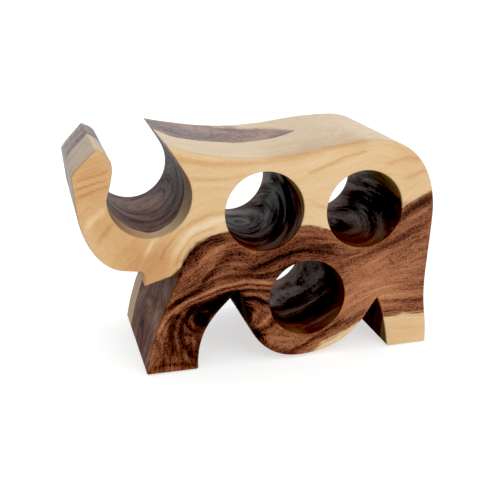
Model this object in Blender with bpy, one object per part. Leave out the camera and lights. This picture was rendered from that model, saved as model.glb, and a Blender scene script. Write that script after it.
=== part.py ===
"""Elephant-shaped wine bottle holder: one carved hardwood block on four felt pads.

Frame: X runs along the length with the trunk towards -X, Y across the thickness with the
shown side towards -Y, Z up from the surface that the pads stand on. The origin is on that
surface, under the middle of the bounding box.
"""

import math

import bmesh
import bpy
from mathutils import Vector

MM = 0.001

# driving sizes, millimetres
THICKNESS = 200.0          # across the block, face to face
HOLE_RADIUS = 50.8         # four-inch bore, for bottles up to 88 mm
SEAT_RADIUS = 51.0         # open bottle seat between trunk and head
EDGE_EASE = 2.0            # sanded rounding along every edge
PAD_RADIUS = 12.5
PAD_THICKNESS = 2.0
PAD_EASE = 0.4
PAD_FROM_FACE = 30.0       # pad centre, in from the block's flat faces
ADHESIVE_GAP = 0.3         # film between pad and foot
SOLE_HEIGHT = PAD_THICKNESS + ADHESIVE_GAP

# outline landmarks: X from the middle of the length, Z above the soles of the feet
RUMP_TOP = (148.0, 284.0)
RUMP_BACK = (231.0, 188.0)
HAM_WAIST = (224.0, 79.0)
REAR_HEEL = (229.0, 0.0)
REAR_TOE = (173.0, 0.0)
GROIN = (157.0, 72.0)
BELLY_LOW = (49.0, 2.0)
ARMPIT = (-33.0, 103.0)
FRONT_HEEL = (-87.0, 0.0)
FRONT_TOE = (-154.0, 0.0)
THROAT = (-103.0, 134.0)
JAW_TIP = (-152.0, 120.0)
JAW_CORNER = (-151.0, 138.0)
TRUNK_BEND = (-172.0, 141.0)
TRUNK_FRONT = (-228.0, 224.0)

# the saw wandered a little on its way through, so the two faces differ at these landmarks
NEAR_FACE = {
    "head_tip": (-118.0, 295.0),
    "neck_dip": (1.0, 271.0),
    "trunk_tip_low": (-231.0, 264.0),
    "trunk_tip_top": (-200.0, 295.0),
}
FAR_FACE = {
    "head_tip": (-117.0, 292.0),
    "neck_dip": (1.0, 275.0),
    "trunk_tip_low": (-231.0, 258.0),
    "trunk_tip_top": (-202.0, 290.0),
}

SEAT_CENTRE = (-140.0, 232.0)
SEAT_START = 180.0         # degrees, where the trunk's inner side meets the seat
SEAT_END = 392.0           # degrees, where the seat runs out to the head tip

BOTTLE_HOLES = {
    "shoulder": (3.0, 202.5),
    "rump": (135.5, 195.0),
    "belly": (59.5, 81.5),
}

CURVE_STEPS = 12
ROUND_STEPS = 48           # steps in a full turn of a hole or the seat
PAD_STEPS = 32
EASE_STEPS = 2
SHARP_ANGLE = math.radians(32.0)


def clear_scene():
    for old in list(bpy.data.objects):
        bpy.data.objects.remove(old, do_unlink=True)


def plain_material(name, colour, roughness):
    made = bpy.data.materials.new(name)
    made.use_nodes = True
    shader = made.node_tree.nodes["Principled BSDF"]
    shader.inputs["Base Color"].default_value = (*colour, 1.0)
    shader.inputs["Roughness"].default_value = roughness
    shader.inputs["Metallic"].default_value = 0.0
    return made


def bend(start, first_handle, second_handle, end):
    """Points of a cubic curve after its start point."""
    corners = [Vector(point) for point in (start, first_handle, second_handle, end)]
    points = []
    for step in range(1, CURVE_STEPS + 1):
        t = step / CURVE_STEPS
        s = 1.0 - t
        weights = (s**3, 3 * s**2 * t, 3 * s * t**2, t**3)
        points.append(sum((w * c for w, c in zip(weights, corners)), Vector((0.0, 0.0))))
    return points


def seat_arc():
    """Points of the open round seat, after its start."""
    sweep = SEAT_END - SEAT_START
    steps = round(sweep / 360.0 * ROUND_STEPS)
    points = []
    for step in range(1, steps + 1):
        angle = math.radians(SEAT_START + sweep * step / steps)
        around = Vector((math.cos(angle), math.sin(angle)))
        points.append(Vector(SEAT_CENTRE) + SEAT_RADIUS * around)
    return points


def elephant_outline(face):
    """The side view on one face, from the head tip along the back and round to the trunk."""
    head_tip = face["head_tip"]
    neck_x, neck_z = face["neck_dip"]
    trunk_tip_low = face["trunk_tip_low"]
    low_z = trunk_tip_low[1]
    trunk_tip_top = face["trunk_tip_top"]
    seat_start = (SEAT_CENTRE[0] - SEAT_RADIUS, SEAT_CENTRE[1])

    # neck, back and rump
    outline = [Vector(head_tip)]
    outline += bend(head_tip, (-93.0, neck_z + 11.0), (-37.0, neck_z), (neck_x, neck_z))
    outline += bend((neck_x, neck_z), (75.0, neck_z), (74.0, 284.0), RUMP_TOP)
    outline += bend(RUMP_TOP, (214.0, 284.0), (231.0, 225.0), RUMP_BACK)
    # rear leg
    outline += bend(RUMP_BACK, (231.0, 162.0), (224.0, 106.0), HAM_WAIST)
    outline += bend(HAM_WAIST, (224.0, 43.0), (229.0, 43.0), REAR_HEEL)
    outline += [Vector(REAR_TOE)]
    outline += bend(REAR_TOE, (171.0, 20.0), (166.0, 50.0), GROIN)
    # belly, a full round that almost reaches the floor
    outline += bend(GROIN, (143.0, 58.0), (127.0, 2.0), BELLY_LOW)
    outline += bend(BELLY_LOW, (-13.0, 2.0), (-28.0, 65.0), ARMPIT)
    # front leg
    outline += bend(ARMPIT, (-56.0, 75.0), (-87.0, 62.0), FRONT_HEEL)
    outline += [Vector(FRONT_TOE)]
    outline += bend(FRONT_TOE, (-146.0, 52.0), (-119.0, 106.0), THROAT)
    # jaw and trunk
    outline += [Vector(JAW_TIP), Vector(JAW_CORNER), Vector(TRUNK_BEND)]
    outline += bend(TRUNK_BEND, (-205.0, 143.0), (-226.0, 186.0), TRUNK_FRONT)
    outline += bend(TRUNK_FRONT, (-229.0, 237.0), (-230.0, low_z - 14.0), trunk_tip_low)
    outline += [Vector(trunk_tip_top)]
    outline += bend(trunk_tip_top, (-178.0, 281.0), (-179.0, 273.0), seat_start)
    # open bottle seat
    outline += seat_arc()
    return outline


def new_object(name, shape, material):
    mesh = bpy.data.meshes.new(name)
    bmesh.ops.recalc_face_normals(shape, faces=shape.faces)
    shape.to_mesh(mesh)
    shape.free()
    mesh.materials.append(material)
    mesh.shade_smooth()
    mesh.set_sharp_from_angle(angle=SHARP_ANGLE)
    made = bpy.data.objects.new(name, mesh)
    bpy.context.scene.collection.objects.link(made)
    return made


def add_outline(shape, face, y):
    return [
        shape.verts.new((point.x * MM, y * MM, (point.y + SOLE_HEIGHT) * MM))
        for point in elephant_outline(face)
    ]


def make_block(material):
    """The two faces' outlines, joined straight across the thickness."""
    shape = bmesh.new()
    near = add_outline(shape, NEAR_FACE, -0.5 * THICKNESS)
    far = add_outline(shape, FAR_FACE, 0.5 * THICKNESS)
    shape.faces.new(near)
    shape.faces.new(far)
    for index in range(len(near)):
        after = (index + 1) % len(near)
        shape.faces.new((near[index], near[after], far[after], far[index]))
    return new_object("carved_body", shape, material)


def bore(block, name, centre):
    """Cuts one bottle hole straight through from face to face."""
    shape = bmesh.new()
    bmesh.ops.create_cone(
        shape,
        cap_ends=True,
        segments=ROUND_STEPS,
        radius1=HOLE_RADIUS * MM,
        radius2=HOLE_RADIUS * MM,
        depth=1.2 * THICKNESS * MM,
    )
    mesh = bpy.data.meshes.new("cutter_" + name)
    shape.to_mesh(mesh)
    shape.free()
    cutter = bpy.data.objects.new("cutter_" + name, mesh)
    cutter.rotation_euler.x = math.radians(90.0)
    cutter.location = (centre[0] * MM, 0.0, (centre[1] + SOLE_HEIGHT) * MM)
    cutter.hide_render = True
    cutter.display_type = "WIRE"
    bpy.context.scene.collection.objects.link(cutter)
    cut = block.modifiers.new("bore_" + name, "BOOLEAN")
    cut.operation = "DIFFERENCE"
    cut.solver = "EXACT"
    cut.object = cutter


def ease_edges(piece, width, steps):
    ease = piece.modifiers.new("eased_edges", "BEVEL")
    ease.limit_method = "ANGLE"
    ease.angle_limit = SHARP_ANGLE
    ease.width = width * MM
    ease.segments = steps
    ease.use_clamp_overlap = False


def make_pad(name, x, y, material):
    shape = bmesh.new()
    bmesh.ops.create_cone(
        shape,
        cap_ends=True,
        segments=PAD_STEPS,
        radius1=PAD_RADIUS * MM,
        radius2=PAD_RADIUS * MM,
        depth=PAD_THICKNESS * MM,
    )
    pad = new_object(name, shape, material)
    pad.location = (x * MM, y * MM, 0.5 * PAD_THICKNESS * MM)
    ease_edges(pad, PAD_EASE, 1)


def make_pads(material):
    """Two pads under each foot, one near each flat face."""
    feet = {
        "front": 0.5 * (FRONT_TOE[0] + FRONT_HEEL[0]),
        "rear": 0.5 * (REAR_TOE[0] + REAR_HEEL[0]),
    }
    reach = 0.5 * THICKNESS - PAD_FROM_FACE
    for foot, x in feet.items():
        for side, y in (("near", -reach), ("far", reach)):
            make_pad(f"{foot}_foot_pad_{side}", x, y, material)


def main():
    clear_scene()
    block = make_block(plain_material("oiled_hardwood", (0.42, 0.21, 0.10), 0.38))
    for name, centre in BOTTLE_HOLES.items():
        bore(block, name, centre)
    ease_edges(block, EDGE_EASE, EASE_STEPS)
    make_pads(plain_material("brown_felt", (0.09, 0.05, 0.03), 0.95))


main()
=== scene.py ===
import math

import bmesh
import bpy
import numpy as np
from mathutils import Matrix, Vector, noise
from mathutils.geometry import delaunay_2d_cdt


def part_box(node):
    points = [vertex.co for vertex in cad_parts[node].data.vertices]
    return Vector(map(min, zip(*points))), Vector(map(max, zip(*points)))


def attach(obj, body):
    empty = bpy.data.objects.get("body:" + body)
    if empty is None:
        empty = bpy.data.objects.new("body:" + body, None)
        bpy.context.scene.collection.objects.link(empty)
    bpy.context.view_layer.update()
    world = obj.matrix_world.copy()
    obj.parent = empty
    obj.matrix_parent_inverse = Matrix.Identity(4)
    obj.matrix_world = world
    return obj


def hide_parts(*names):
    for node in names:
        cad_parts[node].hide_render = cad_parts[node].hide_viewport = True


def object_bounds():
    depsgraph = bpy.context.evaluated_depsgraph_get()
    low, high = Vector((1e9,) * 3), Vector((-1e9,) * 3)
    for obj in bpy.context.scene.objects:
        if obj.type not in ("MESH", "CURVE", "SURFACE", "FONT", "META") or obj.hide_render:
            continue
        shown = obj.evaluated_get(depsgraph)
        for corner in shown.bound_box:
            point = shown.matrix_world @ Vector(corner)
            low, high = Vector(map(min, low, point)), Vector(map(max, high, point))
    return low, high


# A four bottle wine holder, sawn in the outline of an elephant from one block of two-tone
# monkeypod and standing on four felt discs. Metres, +X from trunk to rump, +Z up.

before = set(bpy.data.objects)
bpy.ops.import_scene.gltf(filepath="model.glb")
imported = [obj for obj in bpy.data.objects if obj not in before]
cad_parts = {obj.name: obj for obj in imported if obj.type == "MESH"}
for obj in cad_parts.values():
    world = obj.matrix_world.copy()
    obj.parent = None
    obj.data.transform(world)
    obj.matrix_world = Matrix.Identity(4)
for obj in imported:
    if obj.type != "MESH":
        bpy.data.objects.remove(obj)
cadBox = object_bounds()
mm = 0.001
tiny = 1e-12  # keeps divisions off zero
endless = 1e9  # mm, farther than any point of the block
print("frame loaded")


def linear(hexCode):
    channels = [int(hexCode[i:i + 2], 16) / 255.0 for i in (1, 3, 5)]
    lit = [c / 12.92 if c <= 0.04045 else ((c + 0.055) / 1.055) ** 2.4 for c in channels]
    return (*lit, 1.0)


# adds one node: sockets holds values or the outputs to link in, stops the colours of a ramp
def addNode(tree, kind, sockets=None, stops=None, **settings):
    made = tree.nodes.new("ShaderNode" + kind)
    for name, value in settings.items():
        setattr(made, name, value)
    for key, value in (sockets or {}).items():
        if isinstance(value, bpy.types.NodeSocket):
            tree.links.new(value, made.inputs[key])
        else:
            made.inputs[key].default_value = value
    if stops:
        ramp = made.color_ramp
        while len(ramp.elements) < len(stops):
            ramp.elements.new(1.0)
        for element, (place, hexCode) in zip(ramp.elements, stops):
            element.position = place
            element.color = linear(hexCode)
    return made


def newMaterial(name):
    made = bpy.data.materials.new(name)
    made.use_nodes = True
    made.node_tree.nodes.clear()
    return made, made.node_tree


def newPiece(name, shape, material, sharpAngle=34.0):
    mesh = bpy.data.meshes.new(name)
    shape.to_mesh(mesh)
    shape.free()
    mesh.materials.append(material)
    mesh.shade_smooth()
    mesh.set_sharp_from_angle(angle=math.radians(sharpAngle))
    piece = bpy.data.objects.new(name, mesh)
    bpy.context.scene.collection.objects.link(piece)
    return piece


# The block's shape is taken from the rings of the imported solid.
blockShape = {
    "ringDepth": 98.0,  # mm from the middle, where the solid's edge rounding begins
    "ringSlack": 0.3,  # mm
    "halfThickness": 100.0,  # mm
    "wallStep": 3.0,  # mm between points along the outline
    "depthStep": 5.0,  # mm between rings through the block
    "faceStep": 2.5,  # mm between points on the two flat faces
    "faceMargin": 2.0,  # mm kept free along each rim
    "cornerTurn": 14.0,  # degrees, from here an outline point is a corner
    "edgeRound": 1.7,  # mm, hand sanded rounding along the rims
    "edgeRings": 4,
    "miterLimit": 1.5,
    "tightStep": 0.2,  # least share of its length that a rounded rim's step keeps
    "tightReach": 14,  # steps along the rim that are searched for a crossing
    "tightSlack": 0.3,  # share of a step that counts as a crossing just beyond it
    "tightCut": 0.88,  # what each try leaves of the rounding at a tight place
    "tightTries": 80,
    "tightBlends": 6,  # times that the rounding is evened out along the rim
    "sandedWave": 0.35,  # mm that hand sanding leaves the surface off true
    "waveLength": 46.0,  # mm
    "waveFall": 0.7,  # how quickly the finer waves weaken
    "waveRatio": 2.1,
    "waveCount": 3,
    "flatSole": 6.0,  # mm above the sole where the waves reach full height
}


def solidLoops(side):
    body = bmesh.new()
    body.from_mesh(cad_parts["carved_body"].data)
    bmesh.ops.remove_doubles(body, verts=body.verts, dist=0.001 * mm)
    depth = side * blockShape["ringDepth"] * mm
    beside = {}
    for edge in body.edges:
        first, second = edge.verts
        if all(abs(v.co.y - depth) < blockShape["ringSlack"] * mm for v in edge.verts):
            beside.setdefault(first, []).append(second)
            beside.setdefault(second, []).append(first)
    loops = []
    left = set(beside)
    while left:
        start = max(left, key=lambda v: (round(v.co.x, 5), v.co.z))
        walk = [start, beside[start][0]]
        while walk[-1] is not start:
            ahead = [v for v in beside[walk[-1]] if v is not walk[-2]]
            walk.append(ahead[0])
        walk.pop()
        left -= set(walk)
        loops.append(np.array([(v.co.x, v.co.z) for v in walk]) / mm)
    body.free()
    loops.sort(key=lambda flat: (-len(flat), flat[:, 0].mean()))
    return [turnedLoop(flat, outer=index == 0) for index, flat in enumerate(loops)]


# the outline runs anticlockwise and the holes clockwise, so wood is always on the left
def turnedLoop(flat, outer):
    after = np.roll(flat, -1, axis=0)
    area = 0.5 * np.sum(flat[:, 0] * after[:, 1] - after[:, 0] * flat[:, 1])
    if (area > 0) != outer:
        flat = np.roll(flat[::-1], 1, axis=0)
    return flat


# adds points along a loop on smooth curves, and keeps its corners
def refinedLoop(flat, counts):
    after = np.roll(flat, -1, axis=0)
    step = after - flat
    length = np.linalg.norm(step, axis=1)
    heading = step / length[:, None]
    before = np.roll(heading, 1, axis=0)
    cosTurn = np.clip(np.sum(heading * before, axis=1), -1.0, 1.0)
    corner = np.degrees(np.arccos(cosTurn)) > blockShape["cornerTurn"]
    shared = heading * np.roll(length, 1)[:, None] + before * length[:, None]
    shared /= np.linalg.norm(shared, axis=1)[:, None]
    leaving = np.where(corner[:, None], heading, shared)
    arriving = np.roll(np.where(corner[:, None], before, shared), -1, axis=0)
    points = []
    for i, count in enumerate(counts):
        for part in range(count):
            t = part / count
            blend = (2 * t**3 - 3 * t**2 + 1, t**3 - 2 * t**2 + t, 3 * t**2 - 2 * t**3, t**3 - t**2)
            points.append(
                blend[0] * flat[i] + blend[1] * length[i] * leaving[i]
                + blend[2] * after[i] + blend[3] * length[i] * arriving[i]
            )
    return np.array(points)


# how far each point of a loop moves into the wood for one millimetre of rounding
def inwardSteps(flat):
    heading = np.roll(flat, -1, axis=0) - flat
    heading /= np.linalg.norm(heading, axis=1)[:, None]
    before = np.roll(heading, 1, axis=0)
    left = np.stack((-heading[:, 1], heading[:, 0]), axis=1)
    leftBefore = np.stack((-before[:, 1], before[:, 0]), axis=1)
    miter = (left + leftBefore) / (1.0 + np.sum(left * leftBefore, axis=1))[:, None]
    size = np.linalg.norm(miter, axis=1)[:, None]
    return miter * np.minimum(1.0, blockShape["miterLimit"] / size)


def crossProduct(a, b):
    return a[:, 0] * b[:, 1] - a[:, 1] * b[:, 0]


# a smaller rounding where the outline is too tight for the full one, as at the head's tip
def allowedRounding(flat, inward):
    amount = np.full(len(flat), blockShape["edgeRound"])
    edge = np.roll(flat, -1, axis=0) - flat
    slack = blockShape["tightSlack"]
    for _ in range(blockShape["tightTries"]):
        start = flat + inward * amount[:, None]
        step = np.roll(start, -1, axis=0) - start
        forward = np.sum(step * edge, axis=1)
        tight = forward < blockShape["tightStep"] * np.sum(edge * edge, axis=1)
        tight |= np.roll(tight, 1)
        for apart in range(2, blockShape["tightReach"]):
            otherStart = np.roll(start, -apart, axis=0)
            otherStep = np.roll(step, -apart, axis=0)
            gap = otherStart - start
            across = crossProduct(step, otherStep) + tiny
            t = crossProduct(gap, otherStep) / across
            u = crossProduct(gap, step) / across
            meets = (t > -slack) & (t < 1 + slack) & (u > -slack) & (u < 1 + slack)
            for shift in range(apart + 2):
                tight |= np.roll(meets, shift)
        if not tight.any():
            break
        amount = np.where(tight, amount * blockShape["tightCut"], amount)
    for _ in range(blockShape["tightBlends"]):
        eased = (np.roll(amount, 1) + 2.0 * amount + np.roll(amount, -1)) / 4.0
        amount = np.minimum(amount, eased)
    return amount


# a triangulated flat face between the outline and the holes, with even points inside
def faceTriangles(loops):
    rim = np.concatenate(loops)
    step = blockShape["faceStep"]
    rise = 0.866 * step  # between rows of even triangles
    low = rim.min(axis=0)
    high = rim.max(axis=0)
    rows = int((high[1] - low[1]) / rise) + 1
    columns = int((high[0] - low[0]) / step) + 1
    grid = np.array([
        (low[0] + (column + 0.5 * (row % 2)) * step, low[1] + row * rise)
        for row in range(rows)
        for column in range(columns)
    ])
    nearest = np.full(len(grid), endless)
    for loop in loops:
        for a, b in zip(loop, np.roll(loop, -1, axis=0)):
            along = b - a
            t = np.clip(((grid - a) @ along) / (along @ along), 0.0, 1.0)
            nearest = np.minimum(nearest, np.linalg.norm(grid - a - t[:, None] * along, axis=1))
    grid = grid[insideLoops(grid, loops) & (nearest > blockShape["faceMargin"])]
    edges = []
    start = 0
    for loop in loops:
        count = len(loop)
        edges += [(start + i, start + (i + 1) % count) for i in range(count)]
        start += count
    flat = [Vector(p) for p in np.concatenate((rim, grid))]
    placed, _, faces, sources, _, _ = delaunay_2d_cdt(flat, edges, [], 0, 1e-5)
    middles = np.array([
        sum((placed[i] for i in face), Vector((0.0, 0.0))) / len(face) for face in faces])
    wood = insideLoops(middles, loops)
    return [[sources[i][0] for i in face] for face, isWood in zip(faces, wood) if isWood], grid


# which places lie within the outline and in none of the holes
def insideLoops(places, loops):
    inside = np.zeros(len(places), bool)
    for loop in loops:
        for a, b in zip(loop, np.roll(loop, -1, axis=0)):
            spans = (a[1] > places[:, 1]) != (b[1] > places[:, 1])
            crossX = a[0] + (places[:, 1] - a[1]) / (b[1] - a[1] + tiny) * (b[0] - a[0])
            inside ^= spans & (places[:, 0] < crossX)
    return inside


def carveBlock(material):
    nearRaw = solidLoops(-1)
    farRaw = solidLoops(1)
    near = []
    far = []
    for nearLoop, farLoop in zip(nearRaw, farRaw):
        length = np.linalg.norm(np.roll(nearLoop, -1, axis=0) - nearLoop, axis=1)
        counts = np.maximum(1, np.ceil(length / blockShape["wallStep"])).astype(int)
        near.append(refinedLoop(nearLoop, counts))
        far.append(refinedLoop(farLoop, counts))
    half = blockShape["halfThickness"]
    rings = []
    for k in range(blockShape["edgeRings"]):
        angle = 0.5 * math.pi * k / blockShape["edgeRings"]
        rings.append((1.0 - math.sin(angle), 1.0 - math.cos(angle)))
    wallCount = round(2 * half / blockShape["depthStep"])
    shape = bmesh.new()
    rounding = shape.verts.layers.float.new("rimNearness")
    tables = []
    reach = 2.0 * blockShape["ringDepth"]
    for nearLoop, farLoop in zip(near, far):
        inwardNear = inwardSteps(nearLoop)
        inwardFar = inwardSteps(farLoop)
        roundNear = allowedRounding(nearLoop, inwardNear)
        roundFar = allowedRounding(farLoop, inwardFar)
        slope = (farLoop - nearLoop) / reach
        noInset = np.zeros(len(nearLoop))
        table = []
        levels = []
        for inset, depth in rings:
            levels.append((-half + roundNear * depth, inset * roundNear, inwardNear))
        for k in range(wallCount + 1):
            t = k / wallCount
            onWall = (1 - t) * (roundNear - half) + t * (half - roundFar)
            levels.append((onWall, noInset, inwardNear))
        for inset, depth in reversed(rings):
            levels.append((half - roundFar * depth, inset * roundFar, inwardFar))
        for depths, insets, inward in levels:
            flat = nearLoop + slope * (depths + blockShape["ringDepth"])[:, None]
            flat = flat + inward * insets[:, None]
            table.append([
                shape.verts.new((p[0] * mm, y * mm, p[1] * mm)) for p, y in zip(flat, depths)
            ])
        rimRings = blockShape["edgeRings"] + 1
        for ring in table[:rimRings] + table[-rimRings:]:
            for vertex in ring:
                vertex[rounding] = 1.0
        for upper, lower in zip(table, table[1:]):
            for i in range(len(upper)):
                j = (i + 1) % len(upper)
                shape.faces.new((upper[i], upper[j], lower[j], lower[i]))
        tables.append(table)
    for level, y in ((0, -half), (-1, half)):
        rims = [table[level] for table in tables]
        flatLoops = [np.array([(v.co.x, v.co.z) for v in rim]) / mm for rim in rims]
        triangles, grid = faceTriangles(flatLoops)
        corners = [v for rim in rims for v in rim]
        corners += [shape.verts.new((p[0] * mm, y * mm, p[1] * mm)) for p in grid]
        for triangle in triangles:
            shape.faces.new([corners[i] for i in triangle])
    bmesh.ops.recalc_face_normals(shape, faces=shape.faces)
    sandByHand(shape)
    return newPiece("carvedBlock", shape, material)


# the surface sinks a little below true in slow waves, but not under the feet
def sandByHand(shape):
    shape.normal_update()
    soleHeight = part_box("carved_body")[0].z
    moves = []
    for vertex in shape.verts:
        place = vertex.co / (blockShape["waveLength"] * mm)
        wave = 0.5 + 0.5 * noise.fractal(
            place, blockShape["waveFall"], blockShape["waveRatio"], blockShape["waveCount"])
        lift = (vertex.co.z - soleHeight) / (blockShape["flatSole"] * mm)
        share = min(1.0, max(0.0, lift)) * min(1.0, max(0.0, wave))
        moves.append(vertex.normal * (-blockShape["sandedWave"] * mm * share))
    for vertex, move in zip(shape.verts, moves):
        vertex.co += move


# Where the heartwood lies in the block. Places are millimetres: along, across (the shown face
# is -100) and above the soles. Each row starts with how deep in the heartwood its places lie;
# sapwood is negative.
heartSurvey = {
    "upperBorder": (0, [
        (-106, -100, 140), (-97, -100, 158), (-86, -100, 171), (-70, -100, 177),
        (-45, -100, 181), (0, -100, 184), (50, -100, 180), (78, -100, 174), (98, -100, 167),
        (150, -100, 170), (184, -100, 187), (205, -100, 201), (229, -100, 214)]),
    "lowerBorder": (0, [
        (20, -100, -12), (55, -100, 4), (80, -100, 18), (105, -100, 28), (130, -100, 41),
        (166, -100, 44), (196, -100, 46), (228, -100, 46)]),
    "upperStreak": (24, [
        (-63, -100, 127), (-35, -100, 152), (0, -100, 148), (50, -100, 149),
        (100, -100, 146), (138, -100, 139), (175, -100, 154), (229, -100, 174)]),
    "lowerStreak": (10, [
        (60, -100, 19), (93, -100, 37), (140, -100, 54), (200, -100, 58), (228, -100, 58)]),
    "middle": (40, [(190, -100, 103), (-60, -100, 108), (10, -100, 108), (-128, -100, 75)]),
    "middleLeft": (50, [(130, -100, 92), (150, -100, 97)]),
    "middleRight": (32, [(228, -100, 110)]),
    "backPatch": (0, [
        (-95, -14, 289), (-60, -18, 277), (-20, -14, 272), (20, -8, 272), (60, 3, 276),
        (80, 16, 279), (60, 44, 276), (20, 74, 273), (-20, 90, 275)]),
    "seat": (0, [
        (-181, -52, 202), (-160, -66, 185), (-140, -78, 181), (-118, -70, 186),
        (-98, -58, 205), (-90, -52, 225), (-93, -34, 252), (-112, 0, 286)]),
    "trunkTip": (0, [(-231, 10, 262), (-202, 10, 293), (-228, 20, 225)]),
    "holeSides": (0, [(52, -86, 205), (184, -95, 206)]),
    "backOfLeg": (0, [(-153, 57, 5), (-145, 58, 38), (-134, 62, 70)]),
    "core": (110, [(0, 30, 110)]),
    "coreEnds": (70, [(150, 20, 120), (-90, 70, 150)]),
    "sapwood": (-45, [(0, -100, 245), (150, -100, 235), (-90, -100, 250)]),
    "farLegStripe": (-25, [(-151, 88, 10), (-144, 90, 45), (-132, 92, 75)]),
    "outerSapwood": (-60, [
        (-200, -100, 200), (200, 40, 260), (140, 70, 284), (-170, -100, 140)]),
}

# How the grain runs on the two sawn faces: along each row's places it keeps one level.
grainSurvey = {
    "knots": (4, [(-85, 68), (-19, 69)]),
    "underBelly": (0, [(20, -12), (55, 4), (80, 18), (105, 28), (130, 41), (196, 46), (228, 46)]),
    "belly": (24, [
        (-18, 42), (-4, 40), (14, 40), (60, 30), (90, 34), (110, 44), (135, 60), (165, 70),
        (229, 72)]),
    "crescent": (42, [(12, 68), (60, 58), (112, 70), (135, 80), (165, 88), (229, 90)]),
    "bellyTop": (60, [
        (-30, 97), (-10, 93), (10, 84), (60, 82), (112, 88), (160, 100), (195, 107), (231, 114)]),
    "innerShin": (16, [(-90, 44), (-91, 20), (-92, 4)]),
    "middleShin": (36, [
        (-110, 4), (-111, 24), (-113, 46), (-108, 68), (-98, 82), (-80, 88), (-60, 94), (-42, 98)]),
    "outerShin": (60, [
        (-134, 6), (-131, 30), (-126, 54), (-112, 78), (-92, 90), (-60, 101), (-42, 104),
        (-20, 105)]),
    "foreleg": (78, [
        (-151, 6), (-143, 36), (-134, 62), (-118, 82), (-95, 95), (-78, 102), (-57, 109),
        (-33, 112), (-13, 112), (10, 108), (60, 110), (112, 108), (160, 122), (195, 132),
        (229, 140)]),
    "shoulder": (98, [
        (-122, 92), (-100, 103), (-80, 112), (-55, 121), (-25, 122), (5, 122), (30, 130),
        (60, 134), (96, 124), (117, 128), (140, 134), (160, 143), (192, 160), (232, 176)]),
    "cheek": (122, [
        (-114, 112), (-94, 124), (-74, 138), (-52, 150), (-30, 152), (-6, 146), (18, 150),
        (45, 158), (72, 157), (98, 154), (165, 160), (192, 176), (230, 194)]),
    "border": (152, [
        (-108, 138), (-97, 158), (-86, 171), (-70, 178), (-45, 181), (0, 184), (50, 180),
        (78, 174), (98, 167), (150, 170), (184, 187), (205, 201), (229, 214)]),
    "throat": (172, [
        (-126, 142), (-114, 164), (-98, 182), (-78, 194), (-45, 202), (40, 200), (80, 196),
        (190, 208), (226, 232)]),
    "chin": (196, [(-146, 146), (-136, 166), (-118, 184), (-92, 212), (-50, 226), (80, 224)]),
    "trunk": (214, [(-180, 160), (-206, 200), (-190, 218)]),
    "brow": (236, [
        (-226, 246), (-205, 253), (-186, 258), (-90, 250), (-40, 244), (20, 248), (60, 254),
        (103, 264), (137, 272), (186, 262), (208, 254)]),
    "back": (258, [(-226, 270), (-190, 280), (-108, 284), (-70, 272), (0, 270), (60, 276), (130, 284)]),
}
heartGive = -0.02  # give in the heartwood's fit, so that its borders run smoothly
grainGive = 0.0004
grainDive = 1.0  # levels per mm into the block
surveyUnit = 100.0  # mm, a unit of the fits that keeps their numbers near 1
surveyBatch = 8000  # places at a time, to spare memory


# The smoothest field through the places of a survey: weighted distances to them, raised to a
# power, and a plane.
def smoothField(survey, places, power, give):
    known = []
    levels = []
    for level, row in survey.values():
        known += row
        levels += [level] * len(row)
    known = np.array(known, float) / surveyUnit
    places = places / surveyUnit
    count, axes = known.shape
    apart = np.linalg.norm(known[:, None] - known[None], axis=2)
    system = np.zeros((count + axes + 1,) * 2)
    system[:count, :count] = apart ** power + give * np.eye(count)
    system[:count, count] = 1.0
    system[:count, count + 1:] = known
    system[count:, :count] = system[:count, count:].T
    weights = np.linalg.solve(system, np.concatenate((levels, np.zeros(axes + 1))))
    found = np.empty(len(places))
    for start in range(0, len(places), surveyBatch):
        some = places[start:start + surveyBatch]
        apart = np.linalg.norm(some[:, None] - known[None], axis=2)
        plane = weights[count] + some @ weights[count + 1:]
        found[start:start + surveyBatch] = apart ** power @ weights[:count] + plane
    return found


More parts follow.
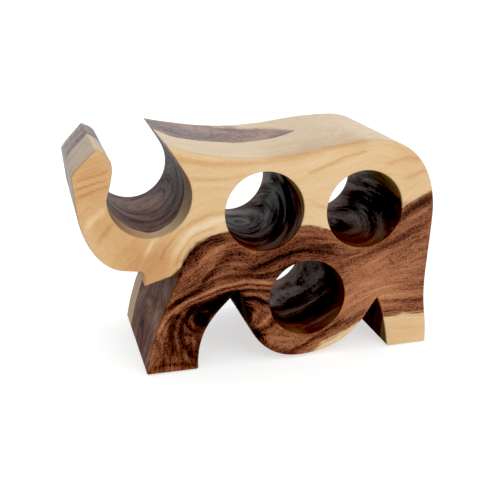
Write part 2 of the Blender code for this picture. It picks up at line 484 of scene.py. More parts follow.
# Darker streaks of the heartwood as seen on the shown face: path, half widths on its left and
# right side, darkening; a negative darkening is a paler streak. They fade into the block.
heartFigure = {
    "cheekDark": ([(-112, 126), (-104, 144), (-92, 160), (-78, 170), (-60, 174), (-44, 176)], 4, 9, 0.22),
    "cheekPale": ([(-104, 124), (-88, 137), (-72, 148), (-58, 158), (-46, 167)], 5, 5, -0.22),
    "cheekLine": ([
        (-120, 91), (-100, 103), (-86, 110), (-76, 120), (-68, 131), (-58, 142), (-46, 151),
        (-36, 156)], 1.6, 6, 0.30),
    "cheekShade": ([(-60, 130), (-48, 143), (-34, 151), (-18, 150)], 3, 6, 0.16),
    "shoulderLine": ([(-72, 112), (-52, 120), (-28, 121), (-5, 118), (12, 118)], 3, 2.5, 0.20),
    "legLine": ([(-126, 84), (-110, 93), (-94, 101), (-80, 107), (-64, 112)], 4, 1.5, 0.30),
    "legPale": ([
        (-138, 52), (-130, 68), (-114, 85), (-96, 94), (-78, 101), (-57, 108), (-33, 111.5),
        (-13, 111), (12, 107)], 2.4, 2.0, -0.42),
    "legDark": ([(-108, 85), (-88, 94), (-60, 104), (-40, 107.5), (-12, 107.5), (12, 103)], 1.3, 1.3, 0.24),
    "legPaleTwo": ([(-116, 79), (-100, 87), (-80, 94), (-60, 101), (-40, 104.5), (-15, 104.5), (12, 100)],
                   1.5, 1.5, -0.26),
    "underPale": ([(-104, 82), (-86, 89), (-60, 97.5), (-40, 101), (-20, 101), (10, 97)], 1.6, 4, 0.30),
    "armpit": ([(-90, 82), (-66, 89), (-50, 94), (-38, 98), (-30, 95)], 4, 13, 0.60),
    "underBellyPale": ([(-34, 97), (-27, 90), (-10, 88), (7, 78)], 3, 4, 0.46),
    "bellyPale": ([(-32, 97.5), (-12, 94), (8, 85)], 2.2, 1.6, -0.34),
    "bellyFront": ([(-33, 92), (-28, 80), (-22, 62), (-14, 46)], 6, 7, 0.46),
    "bellyUnderside": ([(-14, 42), (-1, 24), (20, 11), (46, 4)], 4, 4, 0.30),
    "innerShin": ([(-84, 48), (-88, 26), (-88, 4)], 4, 4, 0.26),
    "bellySpot": ([(-16, 79), (-15, 71), (-18, 62)], 2.6, 2.6, 0.42),
    "bellySpotRim": ([(-10, 81), (-3, 74), (-2, 64), (-8, 57)], 1.5, 1.5, 0.14),
    "crescentPale": ([(-15, 49), (-4, 50.5), (4, 56), (11, 66)], 2.6, 1.8, -0.40),
    "crescentDark": ([(-19, 44), (-6, 42), (8, 48), (15, 58), (13, 72), (5, 81)], 2.2, 3, 0.32),
    "kneeCore": ([(-89, 76), (-84, 67), (-80, 57)], 6, 6, 0.46),
    "kneeGleam": ([(-92, 79), (-95, 69), (-90, 58)], 1.4, 1.4, -0.24),
    "kneeRing": ([(-90, 86), (-99, 79), (-102, 68), (-96, 56), (-84, 49)], 3, 2, 0.32),
    "kneeRingTwo": ([(-126, 70), (-114, 77), (-106, 72), (-107, 60), (-101, 49), (-90, 45)], 3, 4, 0.24),
    "kneeBrow": ([(-82, 79), (-74, 77), (-68, 72)], 1.5, 1.5, -0.22),
    "shinFront": ([(-122, 78), (-134, 58), (-143, 34), (-151, 6)], 6, 9, -0.20),
    "shinWedge": ([(-119, 73), (-123, 54), (-121, 36), (-113, 18)], 7, 4, 0.28),
    "shinWedgeTwo": ([(-111, 60), (-108, 44), (-101, 28), (-93, 12)], 5, 4, 0.26),
    "shinPale": ([(-116, 52), (-113, 38), (-105, 22), (-100, 10)], 2.4, 2.4, -0.18),
    "shinRed": ([(-99, 47), (-92, 38), (-90, 20)], 3, 3, -0.12),
    "shinLine": ([(-138, 44), (-134, 24), (-128, 10)], 2, 2, 0.20),
    "shinLineTwo": ([(-131, 52), (-128, 30), (-120, 12)], 1.6, 1.6, 0.16),
    "hoof": ([(-149, 5), (-126, 11), (-104, 9), (-90, 6)], 2.5, 4, 0.24),
    "rib": ([(-22, 126), (0, 133), (18, 140), (36, 145), (55, 149), (75, 148), (97, 151)], 3, 4, 0.28),
    "ribTwo": ([(-14, 146), (12, 150), (38, 158), (60, 163), (86, 160)], 2.4, 3.4, 0.16),
    "ribPale": ([(-16, 119), (8, 125), (26, 134), (45, 140)], 2.4, 2.4, -0.14),
    "ribEnd": ([(64, 140), (82, 139), (99, 144)], 6, 3, 0.16),
    "flank": ([(94, 118), (118, 126), (140, 132), (160, 141), (180, 152), (205, 165), (233, 177)],
              3, 7, 0.28),
    "flankTwo": ([(104, 133), (130, 139), (150, 143), (168, 151)], 3, 3, 0.18),
    "rumpPale": ([(172, 160), (196, 176), (230, 192)], 4, 4, -0.16),
    "rumpDark": ([(158, 152), (182, 176), (203, 192), (231, 206)], 4, 7, 0.32),
    "ham": ([(190, 91), (216, 101), (231, 105)], 2, 3, 0.13),
    "hamTwo": ([(150, 108), (190, 125), (230, 140)], 1.6, 2.4, 0.09),
    "hamThree": ([(160, 124), (195, 139), (230, 154)], 1.6, 2.4, 0.09),
    "heel": ([(160, 66), (196, 62), (230, 63)], 3, 3, 0.26),
    "heelTwo": ([(163, 53), (196, 53), (230, 51)], 3, 4, 0.24),
    "bellyLine": ([(36, 9), (55, 16), (75, 27), (93, 36), (113, 43), (130, 51), (143, 58)], 2.4, 5, 0.32),
    "bellyLineTwo": ([(-8, 36), (10, 38), (26, 33), (45, 29), (65, 30), (88, 35), (112, 47)], 2, 3, 0.22),
    "bellyLineThree": ([(10, 26), (30, 22), (50, 23), (70, 32)], 1.8, 2, 0.16),
}

# (place, radius, darkening) of the heartwood's broad changes of tone
heartTones = [
    ((158, 90), 62, -0.34), ((218, 150), 40, -0.14), ((70, 24), 40, -0.18), ((112, 56), 26, -0.12),
    ((20, 24), 26, -0.10), ((5, 132), 40, 0.08), ((-85, 70), 36, 0.06), ((65, 130), 26, 0.12),
    ((-8, 68), 10, -0.14), ((0, 276), 60, -0.15), ((-60, 132), 22, -0.10), ((-88, 148), 15, 0.20),
    ((22, 140), 30, 0.12), ((-42, 84), 17, 0.42), ((-24, 72), 8, 0.30), ((-81, 66), 17, 0.34),
    ((-93, 28), 17, 0.18), ((-12, 38), 15, 0.22), ((188, 140), 22, 0.08), ((-62, 176), 14, 0.12),
    ((36, 128), 12, 0.16),
]

# The same for the sapwood, where a positive figure is a browner toast.
sapFigure = {
    "borderPale": ([(-122, 140), (-111, 160), (-98, 177), (-85, 188), (-62, 195), (-28, 199)], 4, 4, -0.30),
    "borderTan": ([(-131, 150), (-120, 170), (-105, 187), (-88, 198), (-60, 205), (-30, 207)], 3, 2, 0.24),
    "borderLine": ([(-113, 142), (-104, 160), (-92, 176), (-78, 184), (-60, 188)], 1.4, 1.4, 0.34),
    "topStrip": ([(-112, 283), (-92, 274), (-60, 268), (-10, 266), (50, 272), (100, 280), (140, 285)],
                 3, 5, 0.30),
    "topLine": ([(58, 248), (82, 256), (103, 264), (137, 272)], 1.5, 2.5, 0.34),
    "topLineTwo": ([(-92, 252), (-60, 248), (-20, 250)], 1.5, 2.5, 0.20),
    "rumpLine": ([(160, 252), (187, 259), (210, 256)], 2, 4, 0.24),
    "rumpLineTwo": ([(190, 232), (212, 240), (224, 238)], 2, 3, 0.20),
    "trunkLine": ([(-226, 238), (-206, 244), (-187, 250)], 1.3, 1.3, 0.34),
    "trunkLineTwo": ([(-227, 247), (-206, 253), (-186, 259)], 1.2, 1.2, 0.42),
    "trunkLineThree": ([(-226, 257), (-206, 263), (-186, 269)], 1.2, 1.2, 0.30),
    "trunkPale": ([(-218, 200), (-205, 212), (-191, 225)], 4, 4, -0.34),
    "trunkShade": ([(-206, 178), (-194, 194), (-186, 206)], 3, 3, 0.24),
    "chinShade": ([(-128, 140), (-116, 150), (-109, 160)], 7, 5, 0.24),
    "chinPale": ([(-133, 183), (-142, 170), (-150, 160)], 3, 3, -0.34),
    "betweenHoles": ([(58, 214), (74, 206), (86, 203)], 2, 4, 0.18),
}

# (place, radius, toasting) of the sapwood, which is browner round the trunk and the chin
sapTones = [
    ((-205, 205), 62, 0.30), ((-145, 145), 42, 0.46), ((-205, 275), 36, 0.28),
    ((-70, 222), 34, 0.08), ((0, 250), 24, -0.10), ((200, 250), 42, 0.10), ((200, 25), 34, 0.10),
    ((90, 180), 22, -0.08), ((95, 15), 26, -0.06),
]

# Swirls push the growth layers of the edges into rings, each (place, radius, rise).
swirls = {
    "shin": ((-150, -10, 12), 52, 44),
    "throat": ((-136, 40, 96), 30, -22),
    "seatFloor": ((-150, 40, 182), 44, 26),
}
figureReach = 70.0  # mm into the block until a streak has faded to a third
figureStray = 1.8  # mm that a streak wanders off its path
strayLength = 17.0  # mm
straySeed = 7  # without one the wander would change with the clock
streakTaper = 1.5  # of a streak's width, the length over which its ends taper off
streakTip = 0.25  # strength left at a streak's tip
throughShare = 0.4  # of the broad tones, which runs right through the block


# how much of a streak lies on each place; it tapers off towards its ends
def streakShare(places, path, leftWidth, rightWidth):
    nearest = np.full(len(places), endless)
    onLeft = np.zeros(len(places), bool)
    travelled = np.zeros(len(places))
    total = 0.0
    for a, b in zip(path, path[1:]):
        a = np.array(a, float)
        along = np.array(b, float) - a
        length = np.linalg.norm(along)
        away = places - a
        t = np.clip((away @ along) / length**2, 0.0, 1.0)
        apart = np.linalg.norm(away - t[:, None] * along, axis=1)
        closer = apart < nearest
        nearest = np.where(closer, apart, nearest)
        onLeft = np.where(closer, along[0] * away[:, 1] > along[1] * away[:, 0], onLeft)
        travelled = np.where(closer, total + t * length, travelled)
        total += length
    width = np.where(onLeft, leftWidth, rightWidth)
    ends = np.minimum(travelled, total - travelled) / (streakTaper * (leftWidth + rightWidth))
    return np.exp(-(nearest / width) ** 2) * np.clip(streakTip + ends, 0.0, 1.0)


def gatherFigure(places, streaks, tones):
    total = np.zeros(len(places))
    for centre, radius, amount in tones:
        apart = np.linalg.norm(places - np.array(centre, float), axis=1)
        total += amount * np.exp(-(apart / radius) ** 2)
    broad = total.copy()
    for path, leftWidth, rightWidth, amount in streaks.values():
        total += amount * streakShare(places, path, leftWidth, rightWidth)
    return broad, total - broad


# Recessed walls, which get painted shade where little light reaches them and are duller, as a
# sanding pad hardly reaches them: each (place, radius, share of the full painted shade, share of
# full dullness, share of the end-grain darkening and painted side shade taken back there).
tightPlaces = {
    "seat": ((-140, 232), 66, 0.16, 0.36, 0.0),
    "underChin": ((-128, 60), 90, 0.34, 0.50, 0.70),
    "arch": ((-25, 60), 60, 0.90, 0.80, 0.0),
    "behindBelly": ((158, 30), 56, 1.00, 0.90, 0.0),
}
holeFadeFrom = 3.0  # mm from the rim
holeFadeTo = 46.0  # mm from the rim to where a bored wall has its full painted shade
holeDullness = 0.18
tightFade = 14.0  # mm over which a tight place begins
boreSlack = 1.5  # mm beyond the bore's radius that still counts as its wall


# how much painted shade, dullness, end-grain darkening with painted side shade, and painted sheen near the
# bores' mouths each place of the walls and bores gets
def surveyWalls(sideways, sunk, normals):
    darkening = np.zeros(len(sideways))
    dullness = np.zeros(len(sideways))
    sideShadeLift = np.zeros(len(sideways))
    boredRim = np.zeros(len(sideways))
    onEdge = 1.0 - np.clip(2.0 * np.abs(normals[:, 1]), 0.0, 1.0)
    for centre, radius, darker, duller, drier in tightPlaces.values():
        apart = np.linalg.norm(sideways - np.array(centre, float), axis=1)
        near = onEdge * np.clip((radius - apart) / tightFade, 0.0, 1.0)
        darkening = np.maximum(darkening, darker * near)
        dullness = np.maximum(dullness, duller * near)
        sideShadeLift = np.maximum(sideShadeLift, drier * near)
    depth = blockShape["halfThickness"] - np.abs(sunk - blockShape["halfThickness"])
    inHole = np.clip((depth - holeFadeFrom) / (holeFadeTo - holeFadeFrom), 0.0, 1.0)
    for loop in solidLoops(-1)[1:]:
        centre = loop.mean(axis=0)
        radius = np.linalg.norm(loop - centre, axis=1).mean()
        centre[1] -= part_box("carved_body")[0].z / mm
        onWall = np.linalg.norm(sideways - centre, axis=1) < radius + boreSlack
        # painted shade in the bores, growing with the depth from their mouths
        darkening = np.where(onWall, onEdge * inHole, darkening)
        dullness = np.where(onWall, holeDullness, dullness)
        # the bores' walls near their mouths, which get a painted sheen
        boredRim = np.where(onWall, onEdge * (1.0 - inHole), boredRim)
    # end-grain darkening and painted side shade on the faces turned left and right, taken back in part
    # under the chin
    return darkening, dullness, normals[:, 0] ** 2 * (1.0 - sideShadeLift), boredRim


# stores what the wood is like at every point of the block, with the masks of painted shade and sheen
def surveyWood(block):
    mesh = block.data
    count = len(mesh.vertices)
    flat = np.empty(count * 3)
    mesh.vertices.foreach_get("co", flat)
    places = flat.reshape(count, 3) / mm
    places[:, 2] -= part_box("carved_body")[0].z / mm
    mesh.vertex_normals.foreach_get("vector", flat)
    normals = flat.reshape(count, 3).copy()
    sideways = places[:, [0, 2]]
    sunk = places[:, 1] + blockShape["halfThickness"]
    fade = np.exp(-(sunk / figureReach) ** 2)
    noise.seed_set(straySeed)
    stray = np.array([noise.noise_vector(Vector(place) / strayLength) for place in places])
    strayed = sideways + figureStray * stray[:, [0, 2]]
    heartBroad, heartStreaks = gatherFigure(strayed, heartFigure, heartTones)
    sapBroad, sapStreaks = gatherFigure(strayed, sapFigure, sapTones)
    depth = smoothField(heartSurvey, places, 1, heartGive)
    grain = smoothField(grainSurvey, sideways, 3, grainGive) + grainDive * sunk
    layer = depth.copy()
    for centre, radius, rise in swirls.values():
        apart = np.linalg.norm(places - np.array(centre, float), axis=1)
        layer += rise * np.exp(-(apart / radius) ** 2)
    darkening, dullness, endGrainAndSideShade, boredRim = surveyWalls(sideways, sunk, normals)
    fields = {
        "heartDepth": depth,
        "grainLevel": np.where(np.abs(normals[:, 1]) > 0.5, grain, layer),
        "boredRim": boredRim,
        "darkness": heartBroad * (throughShare + (1.0 - throughShare) * fade) + heartStreaks * fade,
        "toast": sapBroad + sapStreaks * fade,
        "hollowShade": darkening,
        "dullness": dullness,
        "sawnFace": np.abs(normals[:, 1]),
        "endGrainAndSideShade": endGrainAndSideShade,
    }
    for name, values in fields.items():
        painted = mesh.attributes.new(name, "FLOAT", "POINT")
        painted.data.foreach_set("value", values.astype(np.float32))


woodLook = {
    "heartTone": 0.60,  # 0 is the palest heartwood, 1 is black
    "sapTone": 0.30,
    "borderTeeth": 4.5,  # mm that the border strays along the grain
    "fineTeeth": 2.7,  # mm
    "borderWidth": 1.4,  # mm
    "bandSpacing": 10.0,  # mm between growth bands
    "lineSpacing": 2.2,  # mm between fine growth lines
    "figureLength": 70.0,  # mm that a band keeps its tone
    "lineLength": 42.0,  # mm
    "poreLength": 6.0,  # mm; real pores are 2 to 8 mm long
    "poreWidth": 0.9,  # mm; real ones are 0.3 mm wide and would not show, so drawn coarser
    "poreDepth": 0.10,  # mm
    "poreRange": (0.27, 0.48),  # of their noise, from sound wood to a pore's middle
    "poreTone": (-0.35, 0.65),  # shift of tone between and in the pores
    "heartPores": (0.08, 0.26),  # on pale and on dark heartwood
    "heartPoreTones": (0.20, 0.65),  # what counts as pale and as dark there
    "speckSize": 1.6,  # mm
    "speckedPores": 0.6,  # how far specks break up the pores
    "lineDepth": 0.05,  # mm
    "sandedWaves": 0.8,  # mm, long and low, that make the gloss swim a little
    "heartBands": 0.72,  # how far each pattern shifts the tone
    "heartLines": 0.66,
    "heartSpecks": 0.34,
    "sapBands": 0.38,
    "edgeSapBands": -0.28,  # added on the edges, whose sapwood is calmer
    "sapLines": 0.36,
    "sapPores": 0.07,
    "edgePores": 0.45,  # share of the pores' darkness left on the edges
    "wallLines": -0.30,  # added on the edges, whose lines are softer
    "wallBands": 0.40,  # added on the edges, whose figure is bolder
    "endGrainAndSideShadeStrength": 0.62,  # partly end grain, which drinks the most oil, partly painted shade on the faces turned left and right, which the front light hardly reaches
    # painted shade in the recesses and deep in the bores
    "hollowShadeStrength": 0.52,
    "boreMouthSheen": 0.45,  # painted sheen: the bores' walls near their mouths are paled and greyed towards the haze of reflected light
    # partly wear, partly a painted highlight along the rounded rims
    "rimWearAndHighlight": 0.02,
    "roughness": 0.40,
    "dullRoughness": 0.42,
    "streakRoughness": 0.44,
    "calmStreaks": 0.25,  # how much of that is left outside the bored holes
    "streakRange": (-0.20, 0.42),  # of the wall's figure: from glossy to dull
    "streakLines": 0.7,  # share of fine lines in the dull streaks
    "streakDrying": 0.6,  # how much of the lacquer a dull streak lacks
    "poreRoughness": 0.12,
    "patchSize": 38.0,  # mm
    "patchRoughness": 0.14,
    "gloss": 0.34,  # the specular level of a thin oil varnish, a little under lacquer
    "lacquer": 0.12,
    "lacquerRoughness": 0.30,
}


# noise around 0 that keeps its value along the grain and changes quickly across it
def grainNoise(tree, place, level, length, spacing, detail):
    spread = addNode(tree, "VectorMath", {0: place, 1: (1.0 / length,) * 3}, operation="MULTIPLY")
    across = addNode(tree, "Math", {0: level, 1: 1.0 / spacing}, operation="MULTIPLY")
    pattern = addNode(tree, "TexNoise", {
        "Vector": spread.outputs[0], "W": across.outputs[0], "Scale": 1.0, "Detail": detail,
    }, noise_dimensions="4D")
    return addNode(tree, "Math", {0: pattern.outputs["Fac"], 1: -0.5}, operation="ADD").outputs[0]


def addShares(tree, total, shares):
    for pattern, share in shares:
        total = addNode(tree, "Math", {0: pattern, 1: share, 2: total}, operation="MULTIPLY_ADD").outputs[0]
    return total


def tinted(tree, colour, tint, share, strength):
    amount = addNode(tree, "Math", {0: share, 1: strength}, operation="MULTIPLY").outputs[0]
    return addNode(tree, "Mix", {0: amount, 6: colour, 7: linear(tint)}, data_type="RGBA").outputs[2]


# Monkeypod, also called rain tree: sawn, sanded and rubbed with a satin oil varnish. To the
# eye: cream sapwood beside red-brown heartwood with near-black streaks, open pores as short
# dark dashes, a soft grey sheen at low angles. Its colour also holds painted shade in recesses,
# bores and on the faces turned left and right, a painted sheen near the bores' mouths and a
# faint painted highlight on the rims.
def oiledMonkeypod():
    material, tree = newMaterial("oiledMonkeypod")
    place = addNode(tree, "TexCoord").outputs["Object"]
    place = addNode(tree, "VectorMath", {0: place, 1: (1.0 / mm,) * 3}, operation="MULTIPLY").outputs[0]
    fields = {
        name: addNode(tree, "Attribute", attribute_name=name).outputs["Fac"]
        for name in (
            "heartDepth", "grainLevel", "darkness", "toast", "hollowShade", "dullness", "sawnFace",
            "endGrainAndSideShade", "boredRim", "rimNearness")
    }
    level = fields["grainLevel"]
    bands = grainNoise(tree, place, level, woodLook["figureLength"], woodLook["bandSpacing"], 3.0)
    lines = grainNoise(tree, place, level, woodLook["lineLength"], woodLook["lineSpacing"], 3.0)
    dashes = grainNoise(tree, place, level, woodLook["poreLength"], woodLook["poreWidth"], 1.0)
    specks = addNode(tree, "TexNoise", {
        "Vector": place, "Scale": 1.0 / woodLook["speckSize"], "Detail": 1.0}).outputs["Fac"]
    flecks = addNode(tree, "Math", {0: specks, 1: -0.5}, operation="ADD").outputs[0]
    flecks = addNode(tree, "Math", {0: flecks, 1: fields["sawnFace"]}, operation="MULTIPLY").outputs[0]
    pores = addShares(tree, dashes, [(specks, woodLook["speckedPores"])])
    pores = addNode(tree, "MapRange", {
        "Value": pores, "From Min": woodLook["poreRange"][0], "From Max": woodLook["poreRange"][1],
        "To Min": woodLook["poreTone"][0], "To Max": woodLook["poreTone"][1],
    }, interpolation_type="SMOOTHSTEP").outputs[0]
    edge = addNode(tree, "Math", {0: 1.0, 1: fields["sawnFace"]}, operation="SUBTRACT", use_clamp=True)
    edge = edge.outputs[0]

    depth = addShares(tree, fields["heartDepth"], [
        (lines, woodLook["borderTeeth"]), (dashes, woodLook["fineTeeth"])])
    isHeart = addNode(tree, "MapRange", {
        "Value": depth, "From Min": -woodLook["borderWidth"], "From Max": woodLook["borderWidth"],
    }, interpolation_type="SMOOTHSTEP").outputs[0]

    heartTone = addNode(tree, "Math", {0: fields["darkness"], 1: woodLook["heartTone"]}, operation="ADD")
    wallBands = addNode(tree, "Math", {0: bands, 1: edge}, operation="MULTIPLY").outputs[0]
    wallLines = addNode(tree, "Math", {0: lines, 1: edge}, operation="MULTIPLY").outputs[0]
    heartTone = addShares(tree, heartTone.outputs[0], [
        (bands, woodLook["heartBands"]), (lines, woodLook["heartLines"]),
        (wallBands, woodLook["wallBands"]), (wallLines, woodLook["wallLines"]),
        (flecks, woodLook["heartSpecks"])])
    pale, dark = woodLook["heartPoreTones"]
    onPale, onDark = woodLook["heartPores"]
    poreStrength = addNode(tree, "MapRange", {
        "Value": heartTone, "From Min": pale, "From Max": dark, "To Min": onPale, "To Max": onDark,
    }).outputs[0]
    onFaces = addNode(tree, "MapRange", {
        "Value": fields["sawnFace"], "To Min": woodLook["edgePores"]}).outputs[0]
    poreStrength = addNode(tree, "Math", {0: poreStrength, 1: onFaces}, operation="MULTIPLY").outputs[0]
    heartTone = addShares(tree, heartTone, [(pores, poreStrength)])
    heartColour = addNode(tree, "ValToRGB", {"Fac": heartTone}, stops=[
        (0.0, "#bf8c67"), (0.2, "#a9704d"), (0.4, "#8e5a3e"), (0.6, "#6c3a25"),
        (0.8, "#481f11"), (1.0, "#0c0302"),
    ]).outputs["Color"]

    sapTone = addNode(tree, "Math", {0: fields["toast"], 1: woodLook["sapTone"]}, operation="ADD")
    sapTone = addShares(tree, sapTone.outputs[0], [
        (bands, woodLook["sapBands"]), (lines, woodLook["sapLines"]), (pores, woodLook["sapPores"]),
        (wallBands, woodLook["edgeSapBands"])])
    sapColour = addNode(tree, "ValToRGB", {"Fac": sapTone}, stops=[
        (0.0, "#dcc4a6"), (0.3, "#d3b288"), (0.6, "#c79c6e"), (1.0, "#b27a4c"),
    ]).outputs["Color"]

    wood = addNode(tree, "Mix", {0: isHeart, 6: sapColour, 7: heartColour}, data_type="RGBA").outputs[2]
    # darker faces turned left and right: partly end grain, partly painted side shade
    wood = tinted(tree, wood, "#1b120b", fields["endGrainAndSideShade"], woodLook["endGrainAndSideShadeStrength"])
    # painted shade: recess walls and the deep parts of the bores are darkened towards near black
    wood = tinted(tree, wood, "#0a0605", fields["hollowShade"], woodLook["hollowShadeStrength"])
    # painted sheen near the bores' mouths
    wood = tinted(tree, wood, "#6b5246", fields["boredRim"], woodLook["boreMouthSheen"])
    # partly rubbed wear, partly a painted highlight: the rounded rims are tinted a little paler, as where
    # light catches them
    wood = tinted(tree, wood, "#c99a66", fields["rimNearness"], woodLook["rimWearAndHighlight"])

    patchy = addNode(tree, "TexNoise", {
        "Vector": place, "Scale": 1.0 / woodLook["patchSize"], "Detail": 2.0}).outputs["Fac"]
    wallFigure = addShares(tree, wallBands, [(wallLines, woodLook["streakLines"])])
    glossy, dull = woodLook["streakRange"]
    dullStreak = addNode(tree, "MapRange", {
        "Value": wallFigure, "From Min": glossy, "From Max": dull,
    }, interpolation_type="SMOOTHSTEP").outputs[0]
    bored = addNode(tree, "Math", {0: fields["hollowShade"], 1: fields["boredRim"]}, operation="ADD").outputs[0]
    bored = addNode(tree, "MapRange", {"Value": bored, "To Min": woodLook["calmStreaks"]}).outputs[0]
    dullStreak = addNode(tree, "Math", {0: dullStreak, 1: bored}, operation="MULTIPLY").outputs[0]
    smoothest = woodLook["roughness"] - 0.5 * woodLook["patchRoughness"]
    roughness = addShares(tree, smoothest, [
        (patchy, woodLook["patchRoughness"]), (pores, woodLook["poreRoughness"]),
        (fields["dullness"], woodLook["dullRoughness"]),
        (dullStreak, woodLook["streakRoughness"])])
    unvarnished = addNode(tree, "Math", {0: fields["hollowShade"], 1: fields["dullness"]}, operation="MAXIMUM")
    unvarnished = addNode(tree, "Math", {
        0: dullStreak, 1: woodLook["streakDrying"], 2: unvarnished.outputs[0],
    }, operation="MULTIPLY_ADD", use_clamp=True)
    lacquer = addNode(tree, "Math", {
        0: unvarnished.outputs[0], 1: -woodLook["lacquer"], 2: woodLook["lacquer"],
    }, operation="MULTIPLY_ADD", use_clamp=True)

    height = addNode(tree, "Math", {0: patchy, 1: woodLook["sandedWaves"]}, operation="MULTIPLY")
    height = addShares(tree, height.outputs[0], [
        (pores, -woodLook["poreDepth"]), (lines, woodLook["lineDepth"])])
    bump = addNode(tree, "Bump", {"Height": height, "Distance": mm, "Strength": 1.0}).outputs[0]

    shader = addNode(tree, "BsdfPrincipled", {
        "Base Color": wood, "Roughness": roughness, "IOR": 1.5, "Normal": bump,
        "Specular IOR Level": woodLook["gloss"],
        "Coat Weight": lacquer.outputs[0], "Coat Roughness": woodLook["lacquerRoughness"],
        "Coat IOR": 1.5,
    })
    addNode(tree, "OutputMaterial", {"Surface": shader.outputs[0]})
    return material


feltLook = {
    "fibreLength": 2.4,  # mm
    "swirlReach": 4.0,  # mm that the locks are bent about
    "fibreWidth": 0.35,  # mm; wool is 0.03 mm thick, so its fibres are drawn as small locks
    "roughness": (0.9, 1.0),
    "gloss": 0.3,
    "sheen": 0.4,
    "sheenRoughness": 0.5,
    "fuzzHeight": 0.12,  # mm
}


# Wool felt: pressed, not woven. To the eye: matt, slightly fuzzy, with flecks of paler fibre.
def pressedFelt():
    material, tree = newMaterial("pressedBrownFelt")
    place = addNode(tree, "TexCoord").outputs["Object"]
    place = addNode(tree, "VectorMath", {0: place, 1: (1.0 / mm,) * 3}, operation="MULTIPLY").outputs[0]
    swirl = addNode(tree, "TexNoise", {
        "Vector": place, "Scale": 1.0 / feltLook["fibreLength"], "Detail": 3.0,
    })
    bent = addNode(tree, "VectorMath", {
        0: swirl.outputs["Color"], 1: (feltLook["swirlReach"],) * 3, 2: place,
    }, operation="MULTIPLY_ADD")
    locks = addNode(tree, "TexNoise", {
        "Vector": bent.outputs[0], "Scale": 1.0 / feltLook["fibreWidth"], "Detail": 2.0,
    })
    colour = addNode(tree, "ValToRGB", {"Fac": locks.outputs["Fac"]}, stops=[
        (0.25, "#241711"), (0.5, "#3b271c"), (0.72, "#6b4c38"),
    ])
    bump = addNode(tree, "Bump", {
        "Height": locks.outputs["Fac"], "Distance": feltLook["fuzzHeight"] * mm, "Strength": 1.0,
    })
    least, most = feltLook["roughness"]
    worn = addNode(tree, "MapRange", {"Value": swirl.outputs["Fac"], "To Min": least, "To Max": most})
    shader = addNode(tree, "BsdfPrincipled", {
        "Base Color": colour.outputs["Color"], "Roughness": worn.outputs[0], "Normal": bump.outputs[0],
        "Sheen Weight": feltLook["sheen"], "Sheen Roughness": feltLook["sheenRoughness"],
        "Specular IOR Level": feltLook["gloss"],
    })
    addNode(tree, "OutputMaterial", {"Surface": shader.outputs[0]})
    return material


feltDisc = {
    "sides": 72,
    "profile": [  # share of the radius and of the thickness, from the underside up
        (0.00, 0.00), (0.30, 0.00), (0.60, 0.00), (0.80, 0.00), (0.93, 0.02), (0.975, 0.12),
        (1.00, 0.35), (1.00, 0.62), (0.98, 0.86), (0.94, 0.98), (0.80, 1.00), (0.40, 1.00),
        (0.00, 1.00)],
    "fray": 0.012,  # share of the radius that the cut side strays
    "frayCount": 9.0,  # strays around the disc
    "fraySpread": 900.0,  # per metre, so that no two rings or discs stray alike
}


def cutDisc(name, node, material):
    low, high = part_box(node)
    centre = 0.5 * (low + high)
    radius = 0.5 * (high.x - low.x)
    shape = bmesh.new()
    rings = []
    for share, rise in feltDisc["profile"]:
        z = low.z + rise * (high.z - low.z)
        if share == 0.0:
            rings.append([shape.verts.new((centre.x, centre.y, z))])
            continue
        ring = []
        for side in range(feltDisc["sides"]):
            angle = 2.0 * math.pi * side / feltDisc["sides"]
            around = Vector((math.cos(angle), math.sin(angle), 0.0))
            seed = Vector((centre.x, centre.y, z)) * feltDisc["fraySpread"]
            stray = noise.noise(around * feltDisc["frayCount"] + seed)
            reach = radius * share * (1.0 - feltDisc["fray"] * (0.5 + 0.5 * stray))
            ring.append(shape.verts.new((centre.x + reach * around.x, centre.y + reach * around.y, z)))
        rings.append(ring)
    for lower, upper in zip(rings, rings[1:]):
        for i in range(feltDisc["sides"]):
            j = (i + 1) % feltDisc["sides"]
            if len(lower) == 1:
                shape.faces.new((lower[0], upper[j], upper[i]))
            elif len(upper) == 1:
                shape.faces.new((lower[i], lower[j], upper[0]))
            else:
                shape.faces.new((lower[i], lower[j], upper[j], upper[i]))
    bmesh.ops.recalc_face_normals(shape, faces=shape.faces)
    piece = newPiece(name, shape, material, sharpAngle=60.0)
    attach(piece, "root")
    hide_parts(node)


studio = {
    "floorReach": 40.0,  # m
    "floorColour": "#c9c8c6",
    "floorGlow": 0.60,  # the opal sheet of a light table, lit from below
    "floorMottle": 3.0,  # per metre, of its roughness
    "floorRoughness": (0.8, 0.95),
    "floorGloss": 0.2,
    "wallColour": "#f3fbff",  # daylight, a little cool
    "wallLight": 1.05,
    "ceilingShare": 0.92,  # of the walls' light
    "backShare": 1.3,  # of the walls' light, for the lit wall behind
    "leftShare": 0.15,  # of the walls' light, behind a grey flag on the left
    "ceilingEdge": (0.30, 0.85),  # how far up, left and back each of them begins and is whole
    "leftEdge": (-0.45, -0.85),
    "backEdge": (0.45, 0.80),
    "keyPlace": (0.5, -1.9, 1.35),  # m
    "keySize": 1.3,  # m
    "keyPower": 11.5,  # W
    "keyColour": "#fff6ea",
    "backPlace": (-1.2, 0.9, 1.6),  # m
    "backSize": 1.2,  # m
    "backPower": 2.0,  # W
    "backColour": "#dcefff",
    "blackPoint": 0.039,  # haze that the picture's black level takes away
}

viewpoint = {
    "place": (-0.2843, -1.1435, 0.5219),  # m
    "turn": -14.57,  # degrees to the right of straight at the face
    "tilt": -18.26,  # degrees downwards
    "roll": 0.49,  # degrees
    "lens": 65.34,  # mm
    "shift": (-0.0061, -0.0147),
}


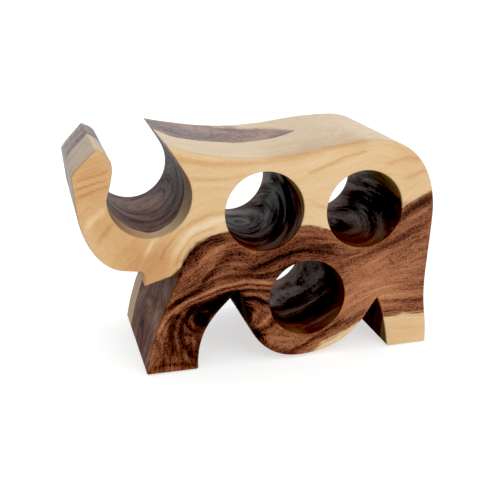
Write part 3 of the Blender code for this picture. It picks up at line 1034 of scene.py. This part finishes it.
def layFloor():
    material, tree = newMaterial("opalAcrylicSheet")
    place = addNode(tree, "TexCoord").outputs["Object"]
    mottle = addNode(tree, "TexNoise", {
        "Vector": place, "Scale": studio["floorMottle"], "Detail": 3.0}).outputs["Fac"]
    least, most = studio["floorRoughness"]
    roughness = addNode(tree, "MapRange", {"Value": mottle, "To Min": least, "To Max": most}).outputs[0]
    shader = addNode(tree, "BsdfPrincipled", {
        "Base Color": linear(studio["floorColour"]), "Roughness": roughness,
        "Specular IOR Level": studio["floorGloss"],
        "Emission Color": linear("#ffffff"), "Emission Strength": studio["floorGlow"],
    })
    addNode(tree, "OutputMaterial", {"Surface": shader.outputs[0]})
    shape = bmesh.new()
    bmesh.ops.create_grid(shape, x_segments=8, y_segments=8, size=studio["floorReach"])
    for vertex in shape.verts:
        vertex.co.z = cadBox[0].z
    floor = newPiece("studioFloor", shape, material)


def hangLight(name, place, size, power, colour, target):
    lamp = bpy.data.lights.new(name, "AREA")
    lamp.shape = "DISK"
    lamp.size = size
    lamp.energy = power
    lamp.color = linear(colour)[:3]
    holder = bpy.data.objects.new(name, lamp)
    holder.location = place
    holder.rotation_euler = (target - Vector(place)).to_track_quat("-Z", "Y").to_euler()
    bpy.context.scene.collection.objects.link(holder)


def lightStudio():
    middle = 0.5 * (cadBox[0] + cadBox[1])
    for side in ("key", "back"):
        hangLight(side + "Light", studio[side + "Place"], studio[side + "Size"],
                  studio[side + "Power"], studio[side + "Colour"], middle)
    world = bpy.data.worlds.new("whiteRoom")
    world.use_nodes = True
    tree = world.node_tree
    tree.nodes.clear()
    towards = addNode(tree, "TexCoord").outputs["Generated"]
    parts = addNode(tree, "SeparateXYZ", {0: towards})
    light = studio["wallLight"]
    for axis, part in (("Z", "ceiling"), ("X", "left"), ("Y", "back")):
        begins, whole = studio[part + "Edge"]
        share = addNode(tree, "MapRange", {
            "Value": parts.outputs[axis], "From Min": begins, "From Max": whole,
            "To Min": 1.0, "To Max": studio[part + "Share"],
        }, interpolation_type="SMOOTHSTEP").outputs[0]
        light = addNode(tree, "Math", {0: share, 1: light}, operation="MULTIPLY").outputs[0]
    walls = addNode(tree, "Background", {"Color": linear(studio["wallColour"]), "Strength": light})
    addNode(tree, "OutputWorld", {"Surface": walls.outputs[0]})
    bpy.context.scene.world = world
    shown = bpy.context.scene.view_settings
    shown.view_transform = "Standard"
    shown.use_curve_mapping = True
    shown.curve_mapping.black_level = (studio["blackPoint"],) * 3


def placeCamera():
    lens = bpy.data.cameras.new("viewCamera")
    lens.lens = viewpoint["lens"]
    lens.shift_x, lens.shift_y = viewpoint["shift"]
    lens.clip_end = 200.0
    camera = bpy.data.objects.new("viewCamera", lens)
    camera.matrix_world = (
        Matrix.Translation(viewpoint["place"])
        @ Matrix.Rotation(math.radians(viewpoint["turn"]), 4, "Z")
        @ Matrix.Rotation(math.radians(viewpoint["tilt"]), 4, "X")
        @ Matrix.Rotation(math.radians(viewpoint["roll"]), 4, "Y")
        @ Matrix.Rotation(math.radians(90.0), 4, "X")
    )
    bpy.context.scene.collection.objects.link(camera)
    bpy.context.scene.camera = camera


placeCamera()
layFloor()
lightStudio()
print("studio ready")

block = carveBlock(oiledMonkeypod())
surveyWood(block)
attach(block, "root")
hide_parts("carved_body")
print("block carved:", len(block.data.vertices), "points")

felt = pressedFelt()
for foot in ("front", "rear"):
    for side in ("near", "far"):
        cutDisc(f"{foot}{side.capitalize()}FeltDisc", f"{foot}_foot_pad_{side}", felt)
print("felt discs in place")
